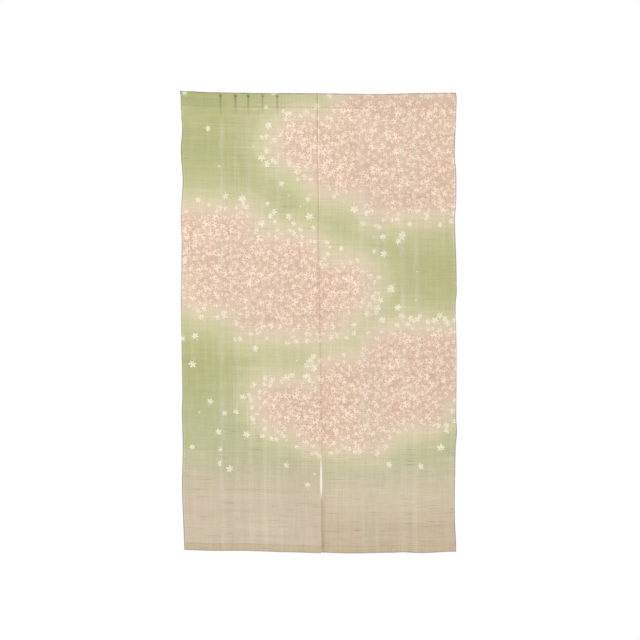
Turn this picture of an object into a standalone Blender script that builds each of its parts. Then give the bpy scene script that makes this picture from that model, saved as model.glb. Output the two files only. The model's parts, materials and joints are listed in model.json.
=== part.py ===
"""Noren curtain of two hemp panels, sewn together at the top and slit below, hanging from its top fold.

Metres, +Z up, front towards -Y. The origin is the middle of the top fold. The top of each panel is
folded to the back and stitched down, which leaves a flat pocket for a rod.
"""
from collections import namedtuple
import math

import bmesh
import bpy

# Whole curtain
WIDTH = 0.896
LENGTH = 1.500
CLOTH = 0.0012            # one layer of woven hemp
HEM = 0.0020              # where the cloth is turned in and stitched
TOUCH = 0.0003            # clearance between pieces that meet

# Hems, seam and rod pocket
SIDE_HEM = 0.007
FOOT_HEM = 0.025
HEM_STEP = 0.0015         # slope between a hem and the single cloth
SEAM_LENGTH = 0.163       # the panels are sewn together this far down
POCKET_HEIGHT = 0.049     # top fold to the stitch line
POCKET_DEPTH = 0.012      # clear depth where the pocket is fullest
POCKET_SWELL = 0.002      # how far the pocket's front stands forwards
POCKET_PRESSED = 0.004    # height of the band that the stitches press flat
POCKET_FULL = 0.35        # share of the back's height that hangs at full depth
DRAPE_HEIGHT = 0.200      # the folds grow to their depth over this height

# The hanging cloth's depth, which puts the crest of the top fold at y = 0
CLOTH_PLANE = POCKET_SWELL - (POCKET_DEPTH + CLOTH) / 2

# Mesh steps
ACROSS_PITCH = 0.022
DOWN_PITCH = 0.032
FRONT_STEPS = 3
TURN_STEPS = 6
BACK_STEPS = 6
SHARP_ANGLE = math.radians(40)
ROUNDING = 1e-6           # slack in telling whether a point lies in a hem

# Surface
HEMP_ROUGHNESS = 0.9
DISPLAY_GAMMA = 2.2       # colours are written as display levels from 0 to 255

# How far a side edge stands outside its straight line, at a distance below the top fold
Edge = namedtuple("Edge", "down out")
LEFT_EDGE = (
    Edge(0.000, 0.0050),
    Edge(0.017, 0.0028),
    Edge(0.068, 0.0018),
    Edge(0.130, -0.0024),
    Edge(0.193, 0.0024),
    Edge(0.295, -0.0040),
    Edge(0.408, 0.0024),
    Edge(0.499, -0.0007),
    Edge(0.682, 0.0020),
    Edge(0.982, -0.0028),
    Edge(1.047, -0.0014),
    Edge(1.145, -0.0040),
    Edge(1.302, -0.0018),
    Edge(1.459, -0.0076),
    Edge(1.500, -0.0092),
)
RIGHT_EDGE = (
    Edge(0.000, -0.0010),
    Edge(0.017, 0.0018),
    Edge(0.060, 0.0011),
    Edge(0.200, -0.0038),
    Edge(0.265, 0.0006),
    Edge(0.365, 0.0002),
    Edge(0.410, -0.0028),
    Edge(0.650, 0.0026),
    Edge(0.690, -0.0012),
    Edge(0.860, 0.0022),
    Edge(1.060, 0.0008),
    Edge(1.112, 0.0034),
    Edge(1.160, -0.0012),
    Edge(1.390, -0.0036),
    Edge(1.500, 0.0002),
)

# The line between the panels: its place across, and how far apart the panels hang there
Middle = namedtuple("Middle", "down across apart")
MIDDLE_LINE = (
    Middle(0.000, -0.0034, TOUCH),
    Middle(SEAM_LENGTH, -0.0030, TOUCH),
    Middle(0.300, -0.0008, 0.0008),
    Middle(0.550, 0.0008, 0.0008),
    Middle(0.900, 0.0041, 0.0008),
    Middle(1.150, 0.0072, 0.0010),
    Middle(1.240, 0.0074, 0.0038),
    Middle(1.290, 0.0075, 0.0036),
    Middle(1.340, 0.0075, 0.0008),
    Middle(1.500, 0.0075, 0.0008),
)

# How far the top fold and the foot stand above their middle height, at a place across
Lift = namedtuple("Lift", "across up")
TOP_LIFT = (
    Lift(-0.448, 0.0073),
    Lift(-0.368, 0.0040),
    Lift(-0.212, 0.0011),
    Lift(0.000, 0.0000),
    Lift(0.120, -0.0019),
    Lift(0.200, -0.0026),
    Lift(0.300, 0.0000),
    Lift(0.448, 0.0018),
)
FOOT_LIFT = (
    Lift(-0.448, 0.0077),
    Lift(-0.370, 0.0070),
    Lift(-0.250, 0.0047),
    Lift(-0.090, 0.0014),
    Lift(0.000, -0.0014),
    Lift(0.240, -0.0014),
    Lift(0.275, 0.0008),
    Lift(0.330, -0.0009),
    Lift(0.448, 0.0034),
)

# Soft folds. A place across runs from 0 at a panel's left edge to 1 at its right edge, and a depth
# is towards the back.
Fold = namedtuple("Fold", "top foot half_width depth_top depth_foot")
LEFT_FOLDS = (
    Fold(0.24, 0.21, 0.085, -0.0020, -0.0065),
    Fold(0.45, 0.47, 0.095, 0.0022, 0.0060),
    Fold(0.70, 0.73, 0.080, -0.0018, -0.0048),
    Fold(1.00, 1.00, 0.070, 0.0000, -0.0045),
)
RIGHT_FOLDS = (
    Fold(0.00, 0.00, 0.065, 0.0000, 0.0050),
    Fold(0.28, 0.24, 0.090, -0.0022, -0.0060),
    Fold(0.52, 0.50, 0.085, 0.0020, 0.0052),
    Fold(0.76, 0.80, 0.095, -0.0024, -0.0058),
)

# Corners of the foot that curl
Corner = namedtuple("Corner", "across reach_across reach_up depth")
LEFT_CORNERS = (
    Corner(0.0, 0.060, 0.140, 0.0055),
)
RIGHT_CORNERS = (
    Corner(0.0, 0.045, 0.090, 0.0050),
    Corner(1.0, 0.050, 0.110, -0.0035),
)

# Waves that the stitches of a side hem draw up along it
Pucker = namedtuple("Pucker", "across reach period shift depth")
LEFT_PUCKERS = (
    Pucker(0.0, 0.045, 0.196, 0.03, 0.0024),
)
RIGHT_PUCKERS = (
    Pucker(1.0, 0.045, 0.228, 0.09, 0.0026),
)

Panel = namedtuple("Panel", "name left_edge right_edge folds corners puckers colour pocket_colour")


def ease(share):
    """A smooth step from 0 to 1."""
    share = min(max(share, 0.0), 1.0)
    return share * share * (3.0 - 2.0 * share)


def read_table(rows, place, column=1):
    """A column's value at a place in the first column, on a smooth curve through the rows."""
    last = len(rows) - 1
    place = min(max(place, rows[0][0]), rows[last][0])
    first = max(i for i in range(last) if rows[i][0] <= place)

    def slope(i):
        if i in (0, last):
            return 0.0
        return (rows[i + 1][column] - rows[i - 1][column]) / (rows[i + 1][0] - rows[i - 1][0])

    span = rows[first + 1][0] - rows[first][0]
    share = (place - rows[first][0]) / span
    bend = slope(first) * (1.0 - share) - slope(first + 1) * share
    straight = rows[first][column] + (rows[first + 1][column] - rows[first][column]) * ease(share)
    return straight + span * share * (1.0 - share) * bend


def outer_left(down):
    return -WIDTH / 2 - read_table(LEFT_EDGE, down)


def outer_right(down):
    return WIDTH / 2 + read_table(RIGHT_EDGE, down)


def slit_left(down):
    """The left panel's edge at the middle line."""
    return read_table(MIDDLE_LINE, down) - read_table(MIDDLE_LINE, down, 2) / 2


def slit_right(down):
    """The right panel's edge at the middle line."""
    return read_table(MIDDLE_LINE, down) + read_table(MIDDLE_LINE, down, 2) / 2


def height(across, down):
    """Z of a point that lies down below the top fold."""
    top = read_table(TOP_LIFT, across)
    foot = read_table(FOOT_LIFT, across)
    return top + (foot - top) * ease(down / LENGTH) - down


def drape(panel, share, down):
    """Depth of the folds in a panel's middle surface, at a share of its width and a distance down."""
    width = panel.right_edge(down) - panel.left_edge(down)
    fall = ease(down / LENGTH)
    depth = 0.0
    for fold in panel.folds:
        centre = fold.top + (fold.foot - fold.top) * fall
        nearness = 1.0 - abs(share - centre) * width / fold.half_width
        depth += (fold.depth_top + (fold.depth_foot - fold.depth_top) * fall) * ease(nearness)
    for corner in panel.corners:
        sideways = ease(1.0 - abs(share - corner.across) * width / corner.reach_across)
        depth += corner.depth * sideways * ease(1.0 - (LENGTH - down) / corner.reach_up)
    for pucker in panel.puckers:
        nearness = ease(1.0 - abs(share - pucker.across) * width / pucker.reach)
        wave = math.sin(2.0 * math.pi * (down + pucker.shift) / pucker.period)
        depth += pucker.depth * nearness * wave
    return depth * ease((down - POCKET_HEIGHT) / DRAPE_HEIGHT)


def stations(start, stop, pitch, start_hem, stop_hem):
    """Places from start to stop, with a pair at each hem's edge where the cloth gets thinner."""
    inner_start = start + start_hem + HEM_STEP if start_hem else start
    inner_stop = stop - stop_hem - HEM_STEP if stop_hem else stop
    steps = max(1, round((inner_stop - inner_start) / pitch))
    places = [inner_start + (inner_stop - inner_start) * i / steps for i in range(steps + 1)]
    if start_hem:
        places = [start, start + start_hem] + places
    if stop_hem:
        places = places + [stop - stop_hem, stop]
    return places


def panel_shares():
    """Shares of a panel's width at its columns of points."""
    width = WIDTH / 2
    places = stations(0.0, width, ACROSS_PITCH, SIDE_HEM, SIDE_HEM)
    return [place / width for place in places]


def is_side_hem(share):
    edge = SIDE_HEM / (WIDTH / 2) + ROUNDING
    return share <= edge or share >= 1.0 - edge


def new_material(name, colour):
    """Matt cloth in a colour given as display levels."""
    material = bpy.data.materials.new(name)
    material.use_nodes = True
    shader = material.node_tree.nodes["Principled BSDF"]
    linear = [(level / 255) ** DISPLAY_GAMMA for level in colour]
    shader.inputs["Base Color"].default_value = (*linear, 1.0)
    shader.inputs["Roughness"].default_value = HEMP_ROUGHNESS
    shader.inputs["Metallic"].default_value = 0.0
    return material


def hung_sheet(name, columns, rows, place, in_hem, colour, collection):
    """A sheet on a grid of columns and rows, from the foot up, with thicker cloth in its hems."""
    grid = bmesh.new()
    across = len(columns) - 1
    up = len(rows) - 1
    bmesh.ops.create_grid(grid, x_segments=across, y_segments=up, size=0.5)
    mesh = bpy.data.meshes.new(name)
    grid.to_mesh(mesh)
    grid.free()
    sheet = bpy.data.objects.new(name, mesh)
    collection.objects.link(sheet)
    hem = sheet.vertex_groups.new(name="hem")
    for vertex in mesh.vertices:
        column = columns[round((vertex.co.x + 0.5) * across)]
        row = rows[round((vertex.co.y + 0.5) * up)]
        vertex.co = place(column, row)
        if in_hem(column, row):
            hem.add([vertex.index], 1.0, "REPLACE")
    solidify = sheet.modifiers.new("cloth", "SOLIDIFY")
    solidify.thickness = HEM
    solidify.offset = 0.0
    solidify.use_even_offset = True
    solidify.vertex_group = hem.name
    solidify.thickness_vertex_group = CLOTH / HEM
    mesh.materials.append(new_material(name, colour))
    mesh.shade_smooth()
    mesh.set_sharp_from_angle(angle=SHARP_ANGLE)
    return sheet


def add_panel(panel, collection):
    """The hanging cloth of one panel, from the pocket's stitch line to the foot."""
    def place(share, down):
        left = panel.left_edge(down)
        across = left + (panel.right_edge(down) - left) * share
        return across, CLOTH_PLANE + drape(panel, share, down), height(across, down)

    def in_hem(share, down):
        return is_side_hem(share) or down >= LENGTH - FOOT_HEM - ROUNDING

    rows = stations(POCKET_HEIGHT + TOUCH, LENGTH, DOWN_PITCH, 0.0, FOOT_HEM)
    rows.reverse()
    name = panel.name + "_panel"
    hung_sheet(name, panel_shares(), rows, place, in_hem, panel.colour, collection)


def pocket_section(cloth):
    """Depth and distance down of the folded strip's middle surface, from its front foot to its back."""
    radius = (POCKET_DEPTH + CLOTH) / 2
    turn_down = CLOTH / 2 + radius
    pressed_down = POCKET_HEIGHT - POCKET_PRESSED
    back = 2 * radius - POCKET_SWELL
    pressed_back = cloth + TOUCH
    points = [(0.0, POCKET_HEIGHT)]
    for i in range(FRONT_STEPS):
        share = i / FRONT_STEPS
        points.append((-POCKET_SWELL * ease(share), pressed_down + (turn_down - pressed_down) * share))
    for i in range(TURN_STEPS + 1):
        angle = math.pi * i / TURN_STEPS
        depth = radius - POCKET_SWELL - radius * math.cos(angle)
        points.append((depth, turn_down - radius * math.sin(angle)))
    for i in range(1, BACK_STEPS + 1):
        share = i / BACK_STEPS
        narrowing = ease((share - POCKET_FULL) / (1.0 - POCKET_FULL))
        depth = back + (pressed_back - back) * narrowing
        points.append((depth, turn_down + (pressed_down - turn_down) * share))
    points.append((pressed_back, POCKET_HEIGHT))
    return points


def add_pocket(panel, collection):
    """The strip along one panel's top that is folded to the back and holds the rod."""
    hem_section = pocket_section(HEM)
    cloth_section = pocket_section(CLOTH)

    def place(share, row):
        depth, down = (hem_section if is_side_hem(share) else cloth_section)[row]
        left = panel.left_edge(down)
        across = left + (panel.right_edge(down) - left) * share
        return across, CLOTH_PLANE + depth, height(across, down)

    def in_hem(share, row):
        return is_side_hem(share)

    name = panel.name + "_rod_pocket"
    rows = range(len(hem_section))
    hung_sheet(name, panel_shares(), rows, place, in_hem, panel.pocket_colour, collection)


def main():
    for old in list(bpy.data.objects):
        bpy.data.objects.remove(old)
    collection = bpy.data.collections.new("noren_curtain")
    bpy.context.scene.collection.children.link(collection)
    panels = (
        Panel("left", outer_left, slit_left, LEFT_FOLDS, LEFT_CORNERS, LEFT_PUCKERS,
              (192, 194, 146), (184, 186, 136)),
        Panel("right", slit_right, outer_right, RIGHT_FOLDS, RIGHT_CORNERS, RIGHT_PUCKERS,
              (222, 196, 168), (206, 186, 152)),
    )
    for panel in panels:
        add_panel(panel, collection)
        add_pocket(panel, collection)


main()
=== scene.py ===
"""The looks of a split doorway curtain of dyed hemp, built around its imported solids.

Metres, +Z up, front towards -Y. The origin is the middle of the top fold. Each panel is one thin sheet
that is really folded: at its rod pocket, at its side hems and at its foot hem.
"""
from collections import namedtuple
import json
import math

import bmesh
import bpy
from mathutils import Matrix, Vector, noise
import numpy as np

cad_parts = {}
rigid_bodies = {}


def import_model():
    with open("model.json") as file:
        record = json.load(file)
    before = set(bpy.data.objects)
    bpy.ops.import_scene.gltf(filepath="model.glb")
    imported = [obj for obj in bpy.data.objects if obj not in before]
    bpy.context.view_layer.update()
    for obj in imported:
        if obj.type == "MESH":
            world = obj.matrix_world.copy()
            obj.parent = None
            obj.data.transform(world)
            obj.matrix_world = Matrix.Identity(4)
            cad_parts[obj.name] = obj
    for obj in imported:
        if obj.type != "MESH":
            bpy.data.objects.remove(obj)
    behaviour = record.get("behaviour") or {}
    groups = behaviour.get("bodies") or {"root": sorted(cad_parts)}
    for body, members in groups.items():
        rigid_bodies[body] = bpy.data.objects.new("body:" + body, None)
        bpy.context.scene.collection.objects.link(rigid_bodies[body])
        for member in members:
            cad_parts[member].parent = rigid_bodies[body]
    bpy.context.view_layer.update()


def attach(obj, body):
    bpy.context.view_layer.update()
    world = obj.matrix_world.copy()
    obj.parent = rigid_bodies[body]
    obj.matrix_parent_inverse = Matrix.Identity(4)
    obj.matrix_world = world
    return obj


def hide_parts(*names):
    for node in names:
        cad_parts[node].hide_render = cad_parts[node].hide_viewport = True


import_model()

# Whole curtain, as in the solids
WIDTH = 0.896
LENGTH = 1.500
CLOTH = 0.0012            # a solid's thickness, from which the pocket's round is worked out
SIDE_HEM = 0.007
FOOT_HEM = 0.025
SEAM_LENGTH = 0.163
POCKET_HEIGHT = 0.049
POCKET_DEPTH = 0.012
POCKET_SWELL = 0.002
POCKET_PRESSED = 0.004
POCKET_FULL = 0.35
DRAPE_HEIGHT = 0.200
CLOTH_PLANE = POCKET_SWELL - (POCKET_DEPTH + CLOTH) / 2
PANEL_WIDTH = WIDTH / 2

# The real cloth and its sewing
HEMP = 0.0005             # thickness of one layer
LAYER = 0.00065           # from the middle of one layer to the next in a hem
FRONT = (0, 0)            # layers that lie before a surface, at the side hems and in the field
BACK = (3, 2)
HEM_EASE = 0.010          # how far in from a side hem the thicker hems settle
POCKET_STITCHES = POCKET_HEIGHT - POCKET_PRESSED / 2
SIDE_STITCHES = 0.0055    # in from a side edge
FOOT_STITCHES = 0.0235    # up from the foot
THREAD = 0.00038
STITCH_PITCH = 0.0050
STITCH_LENGTH = 0.0032
SEAM_PITCH = 0.0040
SEAM_STITCH = 0.0024
SEAM_SLANT = math.radians(55)
TACK_HEIGHT = 0.0045
TACK_WIDTH = 0.0058
TACK_PITCH = 0.00040
THREAD_SIDES = 6
THREAD_RINGS = 4
THREAD_SUNK = 0.3         # share of a thread's radius that lies in the cloth

# Mesh steps
PITCH = 0.0050
POCKET_PITCH = 0.0025
FOLD_STEPS = 4
CREST_STEPS = 18
FOOT_STEPS = 6
HEM_COLUMNS = (SIDE_HEM, SIDE_STITCHES, 0.0038, 0.0021)    # in from a side edge

# How far a side edge stands outside its straight line, at a distance below the top fold
Edge = namedtuple("Edge", "down out")
LEFT_EDGE = (
    Edge(0.000, 0.0050),
    Edge(0.017, 0.0028),
    Edge(0.068, 0.0018),
    Edge(0.130, -0.0024),
    Edge(0.193, 0.0024),
    Edge(0.295, -0.0040),
    Edge(0.408, 0.0024),
    Edge(0.499, -0.0007),
    Edge(0.682, 0.0020),
    Edge(0.982, -0.0028),
    Edge(1.047, -0.0014),
    Edge(1.145, -0.0040),
    Edge(1.302, -0.0018),
    Edge(1.459, -0.0076),
    Edge(1.500, -0.0092),
)
RIGHT_EDGE = (
    Edge(0.000, -0.0010),
    Edge(0.017, 0.0018),
    Edge(0.060, 0.0011),
    Edge(0.200, -0.0038),
    Edge(0.265, 0.0006),
    Edge(0.365, 0.0002),
    Edge(0.410, -0.0028),
    Edge(0.650, 0.0026),
    Edge(0.690, -0.0012),
    Edge(0.860, 0.0022),
    Edge(1.060, 0.0008),
    Edge(1.112, 0.0034),
    Edge(1.160, -0.0012),
    Edge(1.390, -0.0036),
    Edge(1.500, 0.0002),
)

# The line between the panels, and how far apart they hang. Below the seam the left panel's edge comes
# in front of the right one's, so a distance can be below zero.
Middle = namedtuple("Middle", "down across apart")
MIDDLE_LINE = (
    Middle(0.000, -0.0034, -0.0001),
    Middle(SEAM_LENGTH, -0.0030, -0.0001),
    Middle(0.300, -0.0008, -0.0004),
    Middle(0.400, 0.0000, -0.0004),
    Middle(0.550, 0.0008, -0.0006),
    Middle(0.900, 0.0041, -0.0010),
    Middle(1.150, 0.0072, -0.0004),
    Middle(1.240, 0.0074, 0.0038),
    Middle(1.290, 0.0075, 0.0036),
    Middle(1.340, 0.0075, -0.0008),
    Middle(1.500, 0.0075, -0.0012),
)

# How far the top fold and the foot stand above their middle height, at a place across
Lift = namedtuple("Lift", "across up")
TOP_LIFT = (
    Lift(-0.448, 0.0073),
    Lift(-0.368, 0.0040),
    Lift(-0.212, 0.0011),
    Lift(0.000, 0.0000),
    Lift(0.120, -0.0019),
    Lift(0.200, -0.0026),
    Lift(0.300, 0.0000),
    Lift(0.448, 0.0018),
)
FOOT_LIFT = (
    Lift(-0.448, 0.0077),
    Lift(-0.370, 0.0070),
    Lift(-0.250, 0.0047),
    Lift(-0.090, 0.0014),
    Lift(0.000, -0.0014),
    Lift(0.240, -0.0014),
    Lift(0.275, 0.0008),
    Lift(0.330, -0.0009),
    Lift(0.448, 0.0034),
)

# Soft folds. A place across runs from 0 at a panel's left edge to 1 at its right edge, and a depth
# is towards the back.
Fold = namedtuple("Fold", "top foot half_width depth_top depth_foot")
LEFT_FOLDS = (
    Fold(0.24, 0.21, 0.085, -0.0020, -0.0065),
    Fold(0.45, 0.47, 0.095, 0.0022, 0.0060),
    Fold(0.70, 0.73, 0.080, -0.0018, -0.0048),
    Fold(1.00, 1.00, 0.070, 0.0000, -0.0045),
)
RIGHT_FOLDS = (
    Fold(0.00, 0.00, 0.065, 0.0000, 0.0050),
    Fold(0.28, 0.24, 0.090, -0.0022, -0.0060),
    Fold(0.52, 0.50, 0.085, 0.0020, 0.0052),
    Fold(0.76, 0.80, 0.095, -0.0024, -0.0058),
)

# Corners of the foot that curl
Corner = namedtuple("Corner", "across reach_across reach_up depth")
LEFT_CORNERS = (
    Corner(0.0, 0.060, 0.140, 0.0055),
)
RIGHT_CORNERS = (
    Corner(0.0, 0.045, 0.090, 0.0050),
    Corner(1.0, 0.050, 0.110, -0.0035),
)

# Waves that the stitches of a side hem draw up along it
Pucker = namedtuple("Pucker", "across reach period shift depth")
LEFT_PUCKERS = (
    Pucker(0.0, 0.045, 0.196, 0.03, 0.0024),
)
RIGHT_PUCKERS = (
    Pucker(1.0, 0.045, 0.228, 0.09, 0.0026),
)

# Creases that stay in the cloth, as soft troughs and ridges. Across and down give a crease's middle,
# lean is how far it moves across over its length, and a depth below zero is a ridge at the front.
Crease = namedtuple("Crease", "across down length lean half_width depth")
CREASES = (
    Crease(-0.318, 0.260, 0.420, 0.006, 0.014, -0.0007),
    Crease(-0.269, 0.330, 0.560, 0.005, 0.016, 0.0006),
    Crease(-0.227, 0.250, 0.360, 0.004, 0.013, -0.0008),
    Crease(-0.180, 1.150, 0.520, 0.004, 0.018, 0.0009),
    Crease(-0.132, 0.620, 0.700, 0.007, 0.016, -0.0006),
    Crease(-0.392, 1.050, 0.480, -0.010, 0.020, 0.0008),
    Crease(-0.060, 1.240, 0.380, 0.012, 0.018, -0.0009),
    Crease(0.140, 1.190, 0.460, 0.006, 0.016, -0.0008),
    Crease(0.189, 0.480, 0.620, 0.003, 0.015, 0.0006),
    Crease(0.274, 1.120, 0.560, 0.008, 0.018, 0.0009),
    Crease(0.316, 0.300, 0.400, 0.005, 0.014, -0.0007),
    Crease(0.395, 0.900, 0.500, -0.008, 0.020, -0.0008),
    Crease(0.052, 0.260, 0.240, -0.014, 0.015, 0.0006),
)

Panel = namedtuple(
    "Panel", "name nodes left_edge right_edge flat_start slit_at_right folds corners puckers seed")


def ease(share):
    """A smooth step from 0 to 1."""
    share = np.clip(share, 0.0, 1.0)
    return share * share * (3.0 - 2.0 * share)


def read_table(rows, place, column=1):
    """A column's values at places in the first column, on a smooth curve through the rows."""
    table = np.array(rows)
    keys = table[:, 0]
    values = table[:, column]
    slopes = np.zeros(len(keys))
    slopes[1:-1] = (values[2:] - values[:-2]) / (keys[2:] - keys[:-2])
    place = np.clip(place, keys[0], keys[-1])
    first = np.clip(np.searchsorted(keys, place, side="right") - 1, 0, len(keys) - 2)
    span = keys[first + 1] - keys[first]
    share = (place - keys[first]) / span
    bend = slopes[first] * (1.0 - share) - slopes[first + 1] * share
    straight = values[first] + (values[first + 1] - values[first]) * ease(share)
    return straight + span * share * (1.0 - share) * bend


def outer_left(down):
    return -WIDTH / 2 - read_table(LEFT_EDGE, down)


def outer_right(down):
    return WIDTH / 2 + read_table(RIGHT_EDGE, down)


def slit_left(down):
    """The left panel's edge at the middle line."""
    return read_table(MIDDLE_LINE, down) - read_table(MIDDLE_LINE, down, 2) / 2


def slit_right(down):
    """The right panel's edge at the middle line."""
    return read_table(MIDDLE_LINE, down) + read_table(MIDDLE_LINE, down, 2) / 2


def height(across, down):
    """Z of a point that lies down below the top fold."""
    top = read_table(TOP_LIFT, across)
    foot = read_table(FOOT_LIFT, across)
    return top + (foot - top) * ease(down / LENGTH) - down


def drape(panel, share, down):
    """Depth of the folds in a panel's middle surface, at a share of its width and a distance down."""
    width = panel.right_edge(down) - panel.left_edge(down)
    fall = ease(down / LENGTH)
    depth = 0.0
    for fold in panel.folds:
        centre = fold.top + (fold.foot - fold.top) * fall
        nearness = 1.0 - abs(share - centre) * width / fold.half_width
        depth = depth + (fold.depth_top + (fold.depth_foot - fold.depth_top) * fall) * ease(nearness)
    for corner in panel.corners:
        sideways = ease(1.0 - abs(share - corner.across) * width / corner.reach_across)
        depth = depth + corner.depth * sideways * ease(1.0 - (LENGTH - down) / corner.reach_up)
    for pucker in panel.puckers:
        nearness = ease(1.0 - abs(share - pucker.across) * width / pucker.reach)
        wave = np.sin(2.0 * math.pi * (down + pucker.shift) / pucker.period)
        depth = depth + pucker.depth * nearness * wave
    return depth * ease((down - POCKET_HEIGHT) / DRAPE_HEIGHT)


# Small relief: cockles, and the puckers that the stitches draw
COCKLE_ACROSS = 0.070
COCKLE_DOWN = 0.240
COCKLE_DEPTH = 0.0008
RIPPLE_ACROSS = 0.026
RIPPLE_DOWN = 0.048
RIPPLE_DEPTH = 0.00030
PUCKER_PERIOD = 0.030
PUCKER_DEPTH = 0.00038
PUCKER_REACH = 0.024
PUCKER_SWAY = 4.0         # how far the noise shifts the puckers' waves
RIPPLE_SEED = 5.0         # keeps the ripples' noise away from the cockles'
CALM_TOP = 0.060          # the relief grows from the top fold over this height
CALM_SHARE = 0.35


def noise_field(across, down, seed):
    """Smooth noise from -1 to 1 at each place."""
    shape = np.broadcast(across, down).shape
    flat_across = np.broadcast_to(across, shape).ravel()
    flat_down = np.broadcast_to(down, shape).ravel()
    values = [noise.noise((x, z, seed)) for x, z in zip(flat_across, flat_down)]
    return np.array(values).reshape(shape)


def relief(panel, across, share, down):
    """Depth of the cockles, stitch puckers and creases in the cloth."""
    cockles = noise_field(across / COCKLE_ACROSS, down / COCKLE_DOWN, panel.seed)
    ripples = noise_field(across / RIPPLE_ACROSS, down / RIPPLE_DOWN, panel.seed + RIPPLE_SEED)
    depth = COCKLE_DEPTH * cockles + RIPPLE_DEPTH * ripples
    from_side = np.minimum(share, 1.0 - share) * PANEL_WIDTH
    side_wave = np.sin(2.0 * math.pi * down / PUCKER_PERIOD + PUCKER_SWAY * cockles)
    depth = depth + PUCKER_DEPTH * side_wave * ease(1.0 - from_side / PUCKER_REACH)
    row_wave = np.sin(2.0 * math.pi * across / PUCKER_PERIOD + PUCKER_SWAY * ripples)
    for row in (POCKET_STITCHES, LENGTH - FOOT_STITCHES):
        depth = depth + PUCKER_DEPTH * row_wave * ease(1.0 - abs(down - row) / PUCKER_REACH)
    for crease in CREASES:
        along = (down - crease.down) / crease.length
        line = crease.across + crease.lean * along
        nearness = ease(1.0 - abs(across - line) / crease.half_width)
        depth = depth + crease.depth * nearness * ease(1.0 - 2.0 * abs(along))
    return depth * (CALM_SHARE + (1.0 - CALM_SHARE) * ease(down / CALM_TOP))


# A sheet's rows. Down and back are given at the side hems and in the field, because the hems lie
# thicker at the sides. Turn is the angle through which the cloth has turned from facing the front.
Section = namedtuple("Section", "down_hem down_field back_hem back_field turn flat")
Columns = namedtuple("Columns", "share sink in_field flat")


def sheet_section():
    """Rows from the pocket's foot at the back, over the top fold, to the foot hem's edge at the back."""
    radius = (POCKET_DEPTH + CLOTH) / 2
    crest_down = CLOTH / 2 + radius
    pressed_down = POCKET_HEIGHT - POCKET_PRESSED
    full_back = 2 * radius - POCKET_SWELL
    hem_back, field_back = (layers * LAYER for layers in BACK)
    rows = []
    for down in (POCKET_HEIGHT, POCKET_STITCHES):
        rows.append((down, down, hem_back, field_back, -math.pi))
    back_steps = round((pressed_down - crest_down) / POCKET_PITCH)
    for i in range(back_steps, 0, -1):
        share = i / back_steps
        narrowing = ease((share - POCKET_FULL) / (1.0 - POCKET_FULL))
        down = crest_down + (pressed_down - crest_down) * share
        at_hem = full_back + (hem_back - full_back) * narrowing
        in_field = full_back + (field_back - full_back) * narrowing
        rows.append((down, down, at_hem, in_field, -math.pi))
    for i in range(CREST_STEPS + 1):
        angle = math.pi * (1.0 - i / CREST_STEPS)
        down = crest_down - radius * math.sin(angle)
        back = radius - POCKET_SWELL - radius * math.cos(angle)
        rows.append((down, down, back, back, -angle))
    for i in range(1, back_steps + 1):
        share = i / back_steps
        down = crest_down + (pressed_down - crest_down) * share
        lean = -POCKET_SWELL * ease(1.0 - share)
        rows.append((down, down, lean, lean, 0.0))
    hem_start = LENGTH - HEMP / 2 - hem_back / 2
    field_start = LENGTH - HEMP / 2 - field_back / 2
    front_row = len(rows)
    steps = round((hem_start - POCKET_STITCHES) / PITCH)
    for i in range(steps + 1):
        down = POCKET_STITCHES + (hem_start - POCKET_STITCHES) * i / steps
        rows.append((down, down, 0.0, 0.0, 0.0))
    for i in range(1, FOOT_STEPS + 1):
        angle = math.pi * i / FOOT_STEPS
        row = []
        for start, back in ((hem_start, hem_back), (field_start, field_back)):
            row.append(start + back / 2 * math.sin(angle))
        for back in (hem_back, field_back):
            row.append(back / 2 * (1.0 - math.cos(angle)))
        rows.append((*row, angle))
    flap_steps = round(FOOT_HEM / PITCH)
    for i in range(1, flap_steps + 1):
        down = hem_start + (LENGTH - FOOT_HEM - hem_start) * i / flap_steps
        rows.append((down, down, hem_back, field_back, math.pi))
    table = np.array(rows)
    steps = np.hypot(np.diff(table[:, 1]), np.diff(table[:, 3]))
    flat = np.concatenate(([0.0], np.cumsum(steps)))
    flat += POCKET_STITCHES - flat[front_row]
    return Section(*table.T, flat)


def columns_at(insets, sinks, flats):
    """Columns at distances in from a panel's left edge."""
    insets = np.array(insets)
    from_side = np.minimum(insets, PANEL_WIDTH - insets)
    in_field = ease((from_side - SIDE_HEM) / HEM_EASE)
    return Columns(insets / PANEL_WIDTH, np.array(sinks), in_field, np.array(flats))


def hem_columns():
    """Inset, sink and flat place of the columns of a side hem, from its stitched edge to the field."""
    flap = [(inset, LAYER, -inset) for inset in HEM_COLUMNS]
    radius = LAYER / 2
    for i in range(FOLD_STEPS + 1):
        angle = math.pi * i / FOLD_STEPS
        inset = HEMP / 2 + radius - radius * math.sin(angle)
        flat = -radius + LAYER * i / FOLD_STEPS
        flap.append((inset, radius + radius * math.cos(angle), flat))
    return flap + [(inset, 0.0, inset) for inset in reversed(HEM_COLUMNS)]


def sheet_columns():
    """Columns from one side hem's stitched edge, over the front, to the other's."""
    left = hem_columns()
    right = [(PANEL_WIDTH - inset, sink, PANEL_WIDTH - flat) for inset, sink, flat in reversed(left)]
    steps = round((PANEL_WIDTH - 2 * SIDE_HEM) / PITCH)
    field = []
    for i in range(1, steps):
        inset = SIDE_HEM + (PANEL_WIDTH - 2 * SIDE_HEM) * i / steps
        field.append((inset, 0.0, inset))
    return columns_at(*zip(*(left + field + right)))


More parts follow.
